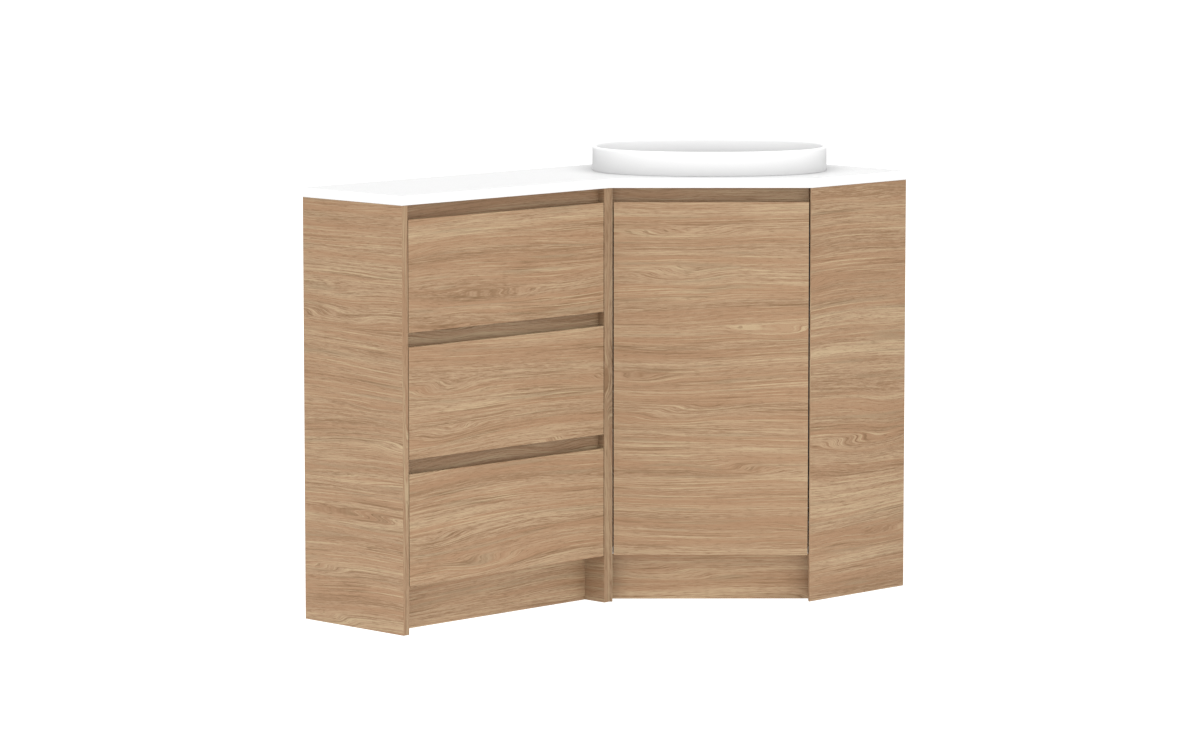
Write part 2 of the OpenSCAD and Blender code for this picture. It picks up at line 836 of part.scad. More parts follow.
benchtop();
basin();
waste_body();
waste_plug();
waste_washer();
waste_nut();
left_end_panel();
bank_gable();
bank_bottom();
bank_back();
bank_kickboard();
finger_rail_top();
finger_rail(2);  // finger_rail_upper
finger_rail(3);  // finger_rail_lower
corner_gable();
right_end_panel();
corner_bottom();
corner_kickboard();
corner_finger_rail();
wall_rail_back();
wall_rail_side();
foot_rail_back();
foot_rail_side();
corner_back_sheet();
corner_side_sheet();
levelling_legs();
door();
door_bumpers();
hinge_cups();
hinge_links();
hinge_arms();
hinge_plates();
drawer_front(1);  // drawer_1_front
drawer_side(1, -1);  // drawer_1_side_left
drawer_side(1, 1);  // drawer_1_side_right
drawer_back(1);  // drawer_1_back
drawer_base(1);  // drawer_1_base
drawer_slides(1);  // drawer_1_slides
runner_rails(1);  // runner_1_rails
runner_cages(1);  // runner_1_cages
drawer_front(2);  // drawer_2_front
drawer_side(2, -1);  // drawer_2_side_left
drawer_side(2, 1);  // drawer_2_side_right
drawer_back(2);  // drawer_2_back
drawer_base(2);  // drawer_2_base
drawer_slides(2);  // drawer_2_slides
runner_rails(2);  // runner_2_rails
runner_cages(2);  // runner_2_cages
drawer_front(3);  // drawer_3_front
drawer_side(3, -1);  // drawer_3_side_left
drawer_side(3, 1);  // drawer_3_side_right
drawer_back(3);  // drawer_3_back
drawer_base(3);  // drawer_3_base
drawer_slides(3);  // drawer_3_slides
runner_rails(3);  // runner_3_rails
runner_cages(3);  // runner_3_cages
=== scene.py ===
"""Corner vanity unit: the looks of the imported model, from the camera and the light to the last screw."""

import math

import bmesh
import bpy
import numpy as np
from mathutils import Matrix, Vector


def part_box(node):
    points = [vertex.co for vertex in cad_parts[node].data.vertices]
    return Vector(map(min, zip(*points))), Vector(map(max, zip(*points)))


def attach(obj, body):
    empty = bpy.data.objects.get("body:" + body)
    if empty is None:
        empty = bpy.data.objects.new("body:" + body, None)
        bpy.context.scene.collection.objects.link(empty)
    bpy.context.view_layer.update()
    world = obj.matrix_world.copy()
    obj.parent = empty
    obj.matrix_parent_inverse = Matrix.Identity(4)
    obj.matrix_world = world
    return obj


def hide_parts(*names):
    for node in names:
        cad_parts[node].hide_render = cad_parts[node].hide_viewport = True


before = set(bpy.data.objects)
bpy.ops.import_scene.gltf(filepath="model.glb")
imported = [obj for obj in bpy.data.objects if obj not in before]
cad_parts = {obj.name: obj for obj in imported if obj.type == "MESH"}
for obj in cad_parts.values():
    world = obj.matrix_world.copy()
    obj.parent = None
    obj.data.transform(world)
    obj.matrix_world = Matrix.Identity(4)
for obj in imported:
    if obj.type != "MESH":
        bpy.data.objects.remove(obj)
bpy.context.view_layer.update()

# ---------------------------------------------------------------------------------------------------
# Camera, light and floor
# The unit stands in a white studio. The camera is far off with a long lens, a little above the top and
# looking straight at the cut corner. The room is bright in front, dimmer behind and brightest overhead,
# polished surfaces mirror it in full, and one soft lamp stands to the left.
# ---------------------------------------------------------------------------------------------------
camera_place = (-7.6704, -7.5641, 1.7907)
camera_turn = (83.0924, 0.0, -45.2837)
camera_lens = 154.35
sensor_width = 36.0

camera = bpy.data.objects.new("camera", bpy.data.cameras.new("camera"))
camera.location = camera_place
camera.rotation_euler = [math.radians(angle) for angle in camera_turn]
camera.data.lens = camera_lens
camera.data.sensor_width = sensor_width
bpy.context.scene.collection.objects.link(camera)
bpy.context.scene.camera = camera
bpy.context.scene.view_settings.view_transform = "Standard"

light_in_front = 1.26
light_behind = 0.20
light_overhead = 0.75
light_mirrored = 1.05
to_front = (-math.sqrt(0.5), -math.sqrt(0.5), 0.15)

world = bpy.data.worlds.new("white_room")
world.use_nodes = True


def node_adder(tree):
    """The function add(kind, inputs, **settings), which puts a node into tree and returns it."""
    def add(kind, inputs=None, **settings):
        node = tree.nodes.new(kind)
        for key, value in settings.items():
            setattr(node, key, value)
        for key, value in (inputs or {}).items():
            node.inputs[key].default_value = value
        return node

    return add


def math_adder(add, link):
    """The function calculate(operation, *values): the output of a Math node on numbers or sockets."""
    def calculate(operation, *values):
        node = add("ShaderNodeMath", operation=operation)
        for socket, value in zip(node.inputs, values):
            if isinstance(value, (int, float)):
                socket.default_value = value
            else:
                link(value, socket)
        return node.outputs[0]

    return calculate


def fade_adder(add, link):
    """The function fade, whose output goes smoothly from first to last while value goes start to end."""
    def fade(value, start, end, first, last):
        node = add("ShaderNodeMapRange", interpolation_type="SMOOTHSTEP", inputs={
            "From Min": start, "From Max": end, "To Min": first, "To Max": last})
        link(value, node.inputs["Value"])
        return node.outputs[0]

    return fade


room_add, room_link = node_adder(world.node_tree), world.node_tree.links.new
room_math, room_fade = math_adder(room_add, room_link), fade_adder(room_add, room_link)

direction = room_add("ShaderNodeTexCoord").outputs["Generated"]
forward = room_add("ShaderNodeVectorMath", {1: to_front}, operation="DOT_PRODUCT")
room_link(direction, forward.inputs[0])
upward = room_add("ShaderNodeSeparateXYZ")
room_link(direction, upward.inputs[0])
walls = room_fade(forward.outputs["Value"], -0.50, 0.50, light_behind, light_in_front)
ceiling = room_fade(upward.outputs["Z"], 0.35, 0.95, 0.0, light_overhead)
seen = room_add("ShaderNodeLightPath")
is_mirrored = room_math("MAXIMUM", seen.outputs["Is Camera Ray"], seen.outputs["Is Glossy Ray"])
mirrored = room_math("MULTIPLY", is_mirrored, light_mirrored)
brightness = room_math("MAXIMUM", room_math("ADD", walls, ceiling), mirrored)
background = world.node_tree.nodes["Background"].inputs
background["Color"].default_value = (1, 1, 1, 1)
room_link(brightness, background["Strength"])
bpy.context.scene.world = world

lamp_place = (-1.2, -6.0, 3.4)
lamp_target = (0.2, 0.0, 0.5)
lamp_width = 3.0
lamp_watts = 18.0
lamp_data = bpy.data.lights.new("soft_lamp", "AREA")
lamp_data.size = lamp_width
lamp_data.energy = lamp_watts
lamp = bpy.data.objects.new("soft_lamp", lamp_data)
lamp.location = lamp_place
aim = np.array(lamp_target) - np.array(lamp_place)
lamp.rotation_euler = (
    math.atan2(math.hypot(aim[0], aim[1]), -aim[2]), 0, math.atan2(aim[1], aim[0]) - math.pi / 2)
bpy.context.scene.collection.objects.link(lamp)

floor_size = 30.0
floor_drop = 0.0005
glow_in_front = 1.10
glow_behind = 0.10
glow_starts = -0.9
glow_full = 0.3
floor_mesh = bpy.data.meshes.new("floor")
floor_mesh.from_pydata(
    [(x * floor_size, y * floor_size, -floor_drop) for x, y in ((-1, -1), (1, -1), (1, 1), (-1, 1))],
    [], [(0, 1, 2, 3)])
floor = bpy.data.objects.new("floor", floor_mesh)
bpy.context.scene.collection.objects.link(floor)


def new_material(name):
    """A new material: returns (material, add, link, shader).

    add makes a node, link(a, b) joins two sockets, and shader holds the Principled shader's sockets.
    """
    material = bpy.data.materials.new(name)
    material.use_nodes = True
    tree = material.node_tree
    return material, node_adder(tree), tree.links.new, tree.nodes["Principled BSDF"].inputs


floor_paint, add, link, shader = new_material("white_floor")
shader["Base Color"].default_value = (0.3, 0.3, 0.3, 1)
shader["Roughness"].default_value = 0.9
shader["Emission Color"].default_value = (1, 1, 1, 1)
place = add("ShaderNodeTexCoord")
outward = add("ShaderNodeVectorMath", {1: to_front}, operation="DOT_PRODUCT")
link(place.outputs["Object"], outward.inputs[0])
pool = fade_adder(add, link)(outward.outputs["Value"], glow_starts, glow_full, glow_behind, glow_in_front)
seen = add("ShaderNodeLightPath")
glow = math_adder(add, link)("MAXIMUM", pool, seen.outputs["Is Camera Ray"])
link(glow, shader["Emission Strength"])
floor_mesh.materials.append(floor_paint)

# ---------------------------------------------------------------------------------------------------
# Oak-look boards: end panels, gables, drawer fronts, door, finger rails and kickboards
# 16 mm boards faced with a matt laminate printed with pale oak, every arris eased. The grain runs level
# on every face, and a thin edge strip with upright grain closes the ends of a board.
# ---------------------------------------------------------------------------------------------------
board_arris = 0.0004
end_facing = 0.6
end_strip_shade = 0.89
bank_strip_shade = 0.98
oak_light = (0.580, 0.410, 0.249, 1)
oak_pale = (0.640, 0.475, 0.288, 1)
oak_middle = (0.485, 0.315, 0.188, 1)
oak_dark = (0.350, 0.208, 0.110, 1)
oak_pink = (0.462, 0.272, 0.152, 1)
oak_olive = (0.410, 0.300, 0.180, 1)
oak_vein = (0.218, 0.118, 0.050, 1)


def new_group(name, inputs, outputs):
    """A node group: returns (group, add, link, given, result), the last two its own sockets.

    inputs and outputs map each socket's name to (type, default or None).
    """
    group = bpy.data.node_groups.new(name, "ShaderNodeTree")
    for direction, sockets in (("INPUT", inputs), ("OUTPUT", outputs)):
        for socket_name, (kind, default) in sockets.items():
            socket = group.interface.new_socket(socket_name, in_out=direction, socket_type=kind)
            if default is not None:
                socket.default_value = default
    source = group.nodes.new("NodeGroupInput")
    sink = group.nodes.new("NodeGroupOutput")

    return group, node_adder(group), group.links.new, source.outputs, sink.inputs


def oak_grain_group():
    """Colour, roughness and height of the oak print.

    The point's x runs along the grain, y across it and z through the board, in metres. Its lines are
    bent first: y' = y + 0.12 sway + 0.003 ripple + arches, where sway is a slow noise, ripple a quick one
    and arches a bump over noise that folds the lines into small flat-sawn tips. Noise drawn out along x
    and read at y' gives broad bands, streaks, hair-fine fibres, dark veins, pale rays and pores.
    """
    group, add, link, given, result = new_group(
        "oak_grain",
        {"Point": ("NodeSocketVector", None), "Tone": ("NodeSocketFloat", 1.0)},
        {"Color": ("NodeSocketColor", None), "Roughness": ("NodeSocketFloat", None),
         "Height": ("NodeSocketFloat", None)})

    calculate, fade = math_adder(add, link), fade_adder(add, link)

    def stretched(vector, along, across, depth, detail, rough):
        """Noise value with that many features per metre along, across and through the board."""
        scale = add("ShaderNodeVectorMath", {1: (along, across, depth)}, operation="MULTIPLY")
        link(vector, scale.inputs[0])
        noise = add("ShaderNodeTexNoise", {"Scale": 1.0, "Detail": detail, "Roughness": rough})
        link(scale.outputs[0], noise.inputs["Vector"])
        return noise.outputs["Fac"]

    def mixed(share, under, over):
        """Colour under, painted over with the colour over where share is more than 0."""
        node = add("ShaderNodeMix", data_type="RGBA")
        link(share, node.inputs["Factor"])
        link(under, node.inputs[6])
        node.inputs[7].default_value = over
        return node.outputs[2]

    point = given["Point"]
    split = add("ShaderNodeSeparateXYZ")
    link(point, split.inputs[0])
    sway = stretched(point, 1.0, 3.0, 2.0, 1.0, 0.5)
    ripple = stretched(point, 6.0, 24.0, 12.0, 1.0, 0.5)
    arches = fade(stretched(point, 3.2, 20.0, 4.0, 0.0, 0.5), 0.56, 0.88, 0.0, 0.018)
    bent = calculate("MULTIPLY_ADD", sway, 0.120, split.outputs["Y"])
    bent = calculate("MULTIPLY_ADD", ripple, 0.0030, bent)
    bent = calculate("ADD", bent, arches)
    rings = add("ShaderNodeCombineXYZ")
    link(split.outputs["X"], rings.inputs["X"])
    link(bent, rings.inputs["Y"])
    link(split.outputs["Z"], rings.inputs["Z"])
    rings = rings.outputs[0]

    busy = fade(stretched(rings, 1.3, 15.0, 5.0, 1.0, 0.5), 0.38, 0.62, 0.0, 1.0)
    bands = stretched(rings, 0.7, 24.0, 5.0, 3.0, 0.60)
    streaks = stretched(rings, 3.4, 250.0, 10.0, 4.0, 0.90)
    fibres = stretched(rings, 40.0, 720.0, 200.0, 2.0, 0.70)
    share = calculate("MULTIPLY_ADD", busy, 0.52, 0.62)
    swing = calculate("MULTIPLY", calculate("SUBTRACT", streaks, 0.5), share)
    total = calculate("MULTIPLY_ADD", bands, 0.46, 0.01)
    total = calculate("ADD", total, swing)
    total = calculate("MULTIPLY_ADD", fibres, 0.54, total)
    ramp = add("ShaderNodeValToRGB")
    link(total, ramp.inputs["Fac"])
    stops = ramp.color_ramp.elements
    stops[0].position, stops[0].color = 0.38, oak_dark
    stops[1].position, stops[1].color = 0.62, oak_light
    middle = stops.new(0.50)
    middle.color = oak_middle

    pink = fade(stretched(rings, 0.7, 34.0, 5.0, 3.0, 0.65), 0.40, 0.62, 0.0, 0.80)
    colour = mixed(pink, ramp.outputs["Color"], oak_pink)
    olive = fade(stretched(rings, 3.0, 60.0, 9.0, 2.0, 0.6), 0.56, 0.70, 0.0, 0.50)
    colour = mixed(olive, colour, oak_olive)

    vein_place = stretched(rings, 1.2, 130.0, 6.0, 3.0, 0.6)
    off_vein = calculate("ABSOLUTE", calculate("SUBTRACT", vein_place, 0.5))
    vein = fade(off_vein, 0.0, 0.035, 1.0, 0.0)
    broken = fade(stretched(rings, 3.0, 40.0, 12.0, 2.0, 0.5), 0.50, 0.60, 0.0, 0.60)
    colour = mixed(calculate("MULTIPLY", vein, broken), colour, oak_vein)
    pale_place = stretched(rings, 4.0, 420.0, 8.0, 2.0, 0.6)
    pale = fade(calculate("MULTIPLY_ADD", bands, 0.5, pale_place), 0.81, 0.94, 0.0, 0.80)
    colour = mixed(pale, colour, oak_pale)
    pores = fade(stretched(rings, 46.0, 900.0, 700.0, 1.0, 0.5), 0.58, 0.70, 0.0, 0.45)
    colour = mixed(pores, colour, oak_vein)
    toned = add("ShaderNodeVectorMath", operation="SCALE")
    link(colour, toned.inputs[0])
    link(given["Tone"], toned.inputs["Scale"])
    link(toned.outputs[0], result["Color"])

    link(calculate("MULTIPLY_ADD", streaks, 0.14, 0.42), result["Roughness"])
    link(calculate("MULTIPLY_ADD", pores, -1.6, fibres), result["Height"])
    return group


oak_grain = oak_grain_group()


def oak_material(name, grain_turn, tone, end_shade=end_strip_shade):
    """Oak laminate whose grain runs level, grain_turn degrees from +X in plan, and tone times as bright.

    A face whose normal points along the grain by more than end_facing is the end of a board, so its print
    is turned upright and end_shade times as bright again.
    """
    material, add, link, shader = new_material(name)
    place = add("ShaderNodeTexCoord")
    along = math.radians(grain_turn)
    turned = add("ShaderNodeMapping", {"Rotation": (0, 0, -along)})
    link(place.outputs["Object"], turned.inputs["Vector"])
    level = add("ShaderNodeSeparateXYZ")
    link(turned.outputs[0], level.inputs[0])
    face = add("ShaderNodeCombineXYZ")
    link(level.outputs["X"], face.inputs["X"])
    link(level.outputs["Z"], face.inputs["Y"])
    link(level.outputs["Y"], face.inputs["Z"])
    end = add("ShaderNodeCombineXYZ")
    link(level.outputs["Z"], end.inputs["X"])
    link(level.outputs["Y"], end.inputs["Y"])
    link(level.outputs["X"], end.inputs["Z"])

    grain_way = (math.cos(along), math.sin(along), 0)
    facing = add("ShaderNodeVectorMath", {1: grain_way}, operation="DOT_PRODUCT")
    link(place.outputs["Normal"], facing.inputs[0])
    size = add("ShaderNodeMath", operation="ABSOLUTE")
    link(facing.outputs["Value"], size.inputs[0])
    is_end = add("ShaderNodeMath", {1: end_facing}, operation="GREATER_THAN")
    link(size.outputs[0], is_end.inputs[0])
    point = add("ShaderNodeMix", data_type="VECTOR")
    link(is_end.outputs[0], point.inputs["Factor"])
    link(face.outputs[0], point.inputs[4])
    link(end.outputs[0], point.inputs[5])

    grain = add("ShaderNodeGroup", node_tree=oak_grain)
    toned = add("ShaderNodeMath", {1: (end_shade - 1) * tone, 2: tone}, operation="MULTIPLY_ADD")
    link(is_end.outputs[0], toned.inputs[0])
    link(toned.outputs[0], grain.inputs["Tone"])
    link(point.outputs[1], grain.inputs["Point"])
    link(grain.outputs["Color"], shader["Base Color"])
    link(grain.outputs["Roughness"], shader["Roughness"])
    shader["Specular IOR Level"].default_value = 0.18
    bump = add("ShaderNodeBump", {"Strength": 0.25, "Distance": 0.0003})
    link(grain.outputs["Height"], bump.inputs["Height"])
    link(bump.outputs[0], shader["Normal"])
    return material


def finish_node(name, material, arris=0.0, steps=2):
    """Gives a CAD node its material, and rounds its sharp edges over by arris; flat faces stay flat."""
    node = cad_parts[name]
    node.data.materials.clear()
    node.data.materials.append(material)
    if arris:
        weld = node.modifiers.new("joined", "WELD")
        weld.merge_threshold = 0.00002
        bevel = node.modifiers.new("eased", "BEVEL")
        bevel.width = arris
        bevel.segments = steps
        bevel.limit_method = "ANGLE"
        bevel.angle_limit = math.radians(35)
        bevel.harden_normals = True
    return node


face_tone = 0.700
# The door's tone is a little darker than the fronts' against the extra light it catches, and the corner
# kickboard's lighter against the shade under the door: painted light and shade.
door_tone_against_light = 0.685
corner_kick_tone_against_shade = 0.735
# The gables and the finger rails are painted darker than the fronts: painted shade in the finger gaps and
# the corner. The bank gable's front strip is lifted back near the fronts' tone.
gable_shaded_tone = 0.60
rail_shaded_tone = 0.592
oak_fronts = oak_material("oak_laminate_fronts", 0, face_tone)
oak_panel = oak_material("oak_laminate_left_panel", 90, face_tone)
oak_bank_gable = oak_material("oak_laminate_bank_gable", 90, gable_shaded_tone, bank_strip_shade)
oak_corner_gable = oak_material("oak_laminate_corner_gable", 90, gable_shaded_tone)
oak_door = oak_material("oak_laminate_door", -45, door_tone_against_light)
oak_corner_kick = oak_material("oak_laminate_corner_kickboard", -45, corner_kick_tone_against_shade)
oak_rails = oak_material("oak_laminate_finger_rails", 0, rail_shaded_tone)
oak_corner_rail = oak_material("oak_laminate_corner_rail", -45, rail_shaded_tone)

for name in ("drawer_1_front", "drawer_2_front", "drawer_3_front", "bank_kickboard", "right_end_panel"):
    finish_node(name, oak_fronts, board_arris)
for name in ("finger_rail_top", "finger_rail_upper", "finger_rail_lower"):
    finish_node(name, oak_rails, board_arris)
finish_node("bank_gable", oak_bank_gable, board_arris)
finish_node("corner_gable", oak_corner_gable, board_arris)
finish_node("door", oak_door, board_arris)
finish_node("corner_kickboard", oak_corner_kick, board_arris)
finish_node("left_end_panel", oak_panel, board_arris)
finish_node("corner_finger_rail", oak_corner_rail, board_arris)

# ---------------------------------------------------------------------------------------------------
# White boards inside: bottoms, backs, wall rails and drawer boxes
# Board faced with white melamine paper under a faint pressed orange peel, edged in the same white.
# ---------------------------------------------------------------------------------------------------
melamine_white = (0.84, 0.84, 0.82, 1)
melamine_shade = (0.79, 0.79, 0.765, 1)
peel_size = 0.0011


def speckle_group():
    """A fine even speckle on a face.

    Height is a noise of Scale features per metre, and Roughness is Base + Spread Height.
    """
    group, add, link, given, result = new_group(
        "fine_speckle",
        {"Point": ("NodeSocketVector", None), "Scale": ("NodeSocketFloat", 500.0),
         "Detail": ("NodeSocketFloat", 2.0), "Base": ("NodeSocketFloat", 0.3),
         "Spread": ("NodeSocketFloat", 0.1)},
        {"Roughness": ("NodeSocketFloat", None), "Height": ("NodeSocketFloat", None)})
    noise = add("ShaderNodeTexNoise")
    link(given["Point"], noise.inputs["Vector"])
    link(given["Scale"], noise.inputs["Scale"])
    link(given["Detail"], noise.inputs["Detail"])
    height = noise.outputs["Fac"]
    rough = math_adder(add, link)("MULTIPLY_ADD", height, given["Spread"], given["Base"])
    link(height, result["Height"])
    link(rough, result["Roughness"])
    return group


fine_speckle = speckle_group()


def speckle_face(add, link, shader, scale, detail, roughness, bump=None):
    """Gives a material the speckle: roughness is (base, spread), and bump is (strength, distance)."""
    place = add("ShaderNodeTexCoord")
    base, spread = roughness
    speckle = add("ShaderNodeGroup", {"Scale": scale, "Detail": detail, "Base": base, "Spread": spread},
                  node_tree=fine_speckle)
    link(place.outputs["Object"], speckle.inputs["Point"])
    link(speckle.outputs["Roughness"], shader["Roughness"])
    if bump:
        strength, distance = bump
        relief = add("ShaderNodeBump", {"Strength": strength, "Distance": distance})
        link(speckle.outputs["Height"], relief.inputs["Height"])
        link(relief.outputs[0], shader["Normal"])


white_board, add, link, shader = new_material("white_melamine")
place = add("ShaderNodeTexCoord")
clouds = add("ShaderNodeTexNoise", {"Scale": 7.0, "Detail": 3.0})
link(place.outputs["Object"], clouds.inputs["Vector"])
tint = add("ShaderNodeMix", {6: melamine_shade, 7: melamine_white}, data_type="RGBA")
link(clouds.outputs["Fac"], tint.inputs["Factor"])
link(tint.outputs[2], shader["Base Color"])
speckle_face(add, link, shader, scale=1 / peel_size, detail=2.0, roughness=(0.28, 0.16),
             bump=(0.15, 0.0002))

for name in ("bank_bottom", "corner_bottom", "foot_rail_back", "foot_rail_side", "corner_back_sheet",
             "corner_side_sheet"):
    finish_node(name, white_board, board_arris)
for name in ("bank_back", "wall_rail_back", "wall_rail_side"):
    finish_node(name, white_board)
for number in (1, 2, 3):
    for part in ("side_left", "side_right", "back", "base"):
        finish_node(f"drawer_{number}_{part}", white_board, board_arris)

# ---------------------------------------------------------------------------------------------------
# Stone top
# One slab of engineered quartz, 20 mm thick: white resin full of fine pale and clear grains, with a
# satin face and a 1 mm arris ground round it. A painted grey contact shade lies round the basin's foot.
# ---------------------------------------------------------------------------------------------------
stone_arris = 0.0010
grain_size = 0.0012
quartz_white = (0.760, 0.760, 0.760, 1)
quartz_clear = (0.715, 0.715, 0.710, 1)
# Painted contact shade round the basin's foot: its grey, its reach and its falloff
quartz_painted_shade = (0.57, 0.57, 0.57, 1)
painted_shade_reach = 0.28
painted_shade_falloff = 1.5
basin_low, basin_high = (np.array(corner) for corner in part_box("basin"))
stone_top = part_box("benchtop")[1][2]
basin_middle = (basin_low[:2] + basin_high[:2]) / 2
basin_turn = math.radians(-45)
half_length = 0.2515
half_depth = 0.200

stone, add, link, shader = new_material("white_quartz_stone")
place = add("ShaderNodeTexCoord")
grains = add("ShaderNodeTexVoronoi", {"Scale": 1 / grain_size})
link(place.outputs["Object"], grains.inputs["Vector"])
grain_shade = add("ShaderNodeSeparateColor")
link(grains.outputs["Color"], grain_shade.inputs[0])
is_clear = add("ShaderNodeMapRange", {"From Min": 0.60, "From Max": 0.95})
link(grain_shade.outputs[0], is_clear.inputs["Value"])
tint = add("ShaderNodeMix", {6: quartz_white, 7: quartz_clear}, data_type="RGBA")
link(is_clear.outputs[0], tint.inputs["Factor"])
# The painted shade thins out from 1 to 1 + its reach in sqrt((x / half_length)^2 + (y / half_depth)^2)
about_basin = add("ShaderNodeMapping",
                  {"Location": (*basin_middle, stone_top), "Rotation": (0, 0, basin_turn),
                   "Scale": (half_length, half_depth, 1)}, vector_type="TEXTURE")
link(place.outputs["Object"], about_basin.inputs["Vector"])
away = add("ShaderNodeVectorMath", operation="LENGTH")
link(about_basin.outputs[0], away.inputs[0])
nearness = add("ShaderNodeMapRange", {"From Min": 1 + painted_shade_reach, "From Max": 1.0})
link(away.outputs["Value"], nearness.inputs["Value"])
shade_share = add("ShaderNodeMath", {1: painted_shade_falloff}, operation="POWER")
link(nearness.outputs[0], shade_share.inputs[0])
shaded_stone = add("ShaderNodeMix", {7: quartz_painted_shade}, data_type="RGBA")
link(shade_share.outputs[0], shaded_stone.inputs["Factor"])
link(tint.outputs[2], shaded_stone.inputs[6])
link(shaded_stone.outputs[2], shader["Base Color"])
polish = add("ShaderNodeMath", {1: 0.08, 2: 0.38}, operation="MULTIPLY_ADD")
link(grain_shade.outputs[1], polish.inputs[0])
link(polish.outputs[0], shader["Roughness"])
shader["Specular IOR Level"].default_value = 0.30
finish_node("benchtop", stone, stone_arris, steps=3)

# ---------------------------------------------------------------------------------------------------
# Basin
# Slip-cast vitreous china under a satin white glaze, an oval of 503 by 400 mm let into the stone. Its
# upright wall stands on the slab, the lip is rolled over in a half round, and the bowl hangs through the
# cut-out.
# ---------------------------------------------------------------------------------------------------
rim_wall = 0.009
bowl_wall = 0.010
bowl_depth = 0.130
plan_power = 2.3
outlet_flat = 0.038
outlet_radius = 0.0225
flange_seat = 0.034
flange_sink = 0.001
foot_round = 0.0012
oval_points = 288
rim_top = basin_high[2]
bowl_floor = rim_top - bowl_depth
lip_height = rim_top - rim_wall / 2
bowl_sweep = lip_height - bowl_floor


def at_basin(points):
    """Points drawn about the waste, with x along the basin, brought to their place in the corner.

    (x, y) turns by basin_turn and moves by basin_middle, and z stays.
    """
    cosine, sine = math.cos(basin_turn), math.sin(basin_turn)
    turn = np.array([[cosine, -sine], [sine, cosine]])
    placed = points.copy()
    placed[..., :2] = points[..., :2] @ turn.T + basin_middle
    return placed


def oval_rings(a, b, power, z, count):
    """Level ovals |x / a|^power + |y / b|^power = 1, one for each entry, with count points each.

    x = a s cos t and y = b s sin t, where s = (|cos t|^power + |sin t|^power)^(-1 / power).
    """
    t = np.linspace(0, 2 * np.pi, count, endpoint=False)
    across, along = np.cos(t), np.sin(t)
    a, b, power, z = (np.asarray(value, float)[:, None] for value in (a, b, power, z))
    reach = (np.abs(across) ** power + np.abs(along) ** power) ** (-1 / power)
    return np.stack([a * reach * across, b * reach * along, z + 0 * reach], axis=-1)


def lofted(name, rings, closed, body, material, sharp=40):
    """A piece from rings[i, j] of points: j runs round a ring, and closed joins the last to the first.

    Quads join each ring to the next. Rings that shrink to a point close the ends, and edges bent by more
    than sharp degrees stay crisp.
    """
    rows, count = rings.shape[:2]
    i = np.arange(rows if closed else rows - 1)[:, None]
    j = np.arange(count)[None, :]
    here, beyond = i * count, (i + 1) % rows * count
    right = (j + 1) % count
    faces = np.stack([here + j, here + right, beyond + right, beyond + j], axis=-1).reshape(-1, 4)
    mesh = bpy.data.meshes.new(name)
    mesh.from_pydata(rings.reshape(-1, 3), [], faces)
    soft = bmesh.new()
    soft.from_mesh(mesh)
    bmesh.ops.remove_doubles(soft, verts=soft.verts, dist=1e-6)
    bmesh.ops.recalc_face_normals(soft, faces=soft.faces)
    soft.to_mesh(mesh)
    soft.free()
    mesh.polygons.foreach_set("use_smooth", np.ones(len(mesh.polygons), bool))
    mesh.set_sharp_from_angle(angle=math.radians(sharp))
    mesh.materials.append(material)
    piece = bpy.data.objects.new(name, mesh)
    bpy.context.scene.collection.objects.link(piece)
    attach(piece, body)
    return piece


# The greys below paint shade into the glaze, on the outer wall and in the bowl
glaze_white = (0.87, 0.87, 0.87, 1)
glaze_shaded_foot = (0.63, 0.63, 0.63, 1)
glaze_lip = (0.95, 0.95, 0.95, 1)
glaze_shaded_wall = (0.49, 0.49, 0.49, 1)
glaze_shaded_floor = (0.72, 0.72, 0.72, 1)
outer_shade_drop = 0.055
outer_shade_falloff = 0.75
darkest_shade_depth = 0.27
outside_lean = 0.04
# The glaze colour is painted shade: it goes from glaze_white to a grey down the outer wall. Inside it goes
# from glaze_lip to its darkest grey at the depth given as a share of the bowl's depth, and on to a lighter
# grey at the outlet. A face is outside where its normal times the level way from the middle, in metres, is
# outside_lean or more.
glaze, add, link, shader = new_material("white_glaze")
place = add("ShaderNodeTexCoord")
level = add("ShaderNodeSeparateXYZ")
link(place.outputs["Object"], level.inputs[0])
outer_shade_share = add("ShaderNodeMapRange", {"From Min": rim_top, "From Max": rim_top - outer_shade_drop})
link(level.outputs["Z"], outer_shade_share.inputs["Value"])
outer_shade_curve = add("ShaderNodeMath", {1: outer_shade_falloff}, operation="POWER")
link(outer_shade_share.outputs[0], outer_shade_curve.inputs[0])
outside = add("ShaderNodeMix", {6: glaze_white, 7: glaze_shaded_foot}, data_type="RGBA")
link(outer_shade_curve.outputs[0], outside.inputs["Factor"])
depth = add("ShaderNodeMapRange", {"From Min": rim_top, "From Max": bowl_floor})
link(level.outputs["Z"], depth.inputs["Value"])
inside = add("ShaderNodeValToRGB")
link(depth.outputs[0], inside.inputs["Fac"])
inside_stops = inside.color_ramp.elements
inside_stops[0].position, inside_stops[0].color = 0.0, glaze_lip
inside_stops[1].position, inside_stops[1].color = 1.0, glaze_shaded_floor
inside_stops.new(darkest_shade_depth).color = glaze_shaded_wall
from_middle = add("ShaderNodeVectorMath", {1: (*basin_middle, 0)}, operation="SUBTRACT")
link(place.outputs["Object"], from_middle.inputs[0])
away = add("ShaderNodeVectorMath", {1: (1, 1, 0)}, operation="MULTIPLY")
link(from_middle.outputs[0], away.inputs[0])
outward = add("ShaderNodeVectorMath", operation="DOT_PRODUCT")
link(place.outputs["Normal"], outward.inputs[0])
link(away.outputs[0], outward.inputs[1])
is_inside = fade_adder(add, link)(outward.outputs["Value"], outside_lean, 0.0, 0.0, 1.0)
tint = add("ShaderNodeMix", data_type="RGBA")
link(is_inside, tint.inputs["Factor"])
link(outside.outputs[2], tint.inputs[6])
link(inside.outputs["Color"], tint.inputs[7])
link(tint.outputs[2], shader["Base Color"])
shader["Specular IOR Level"].default_value = 0.25
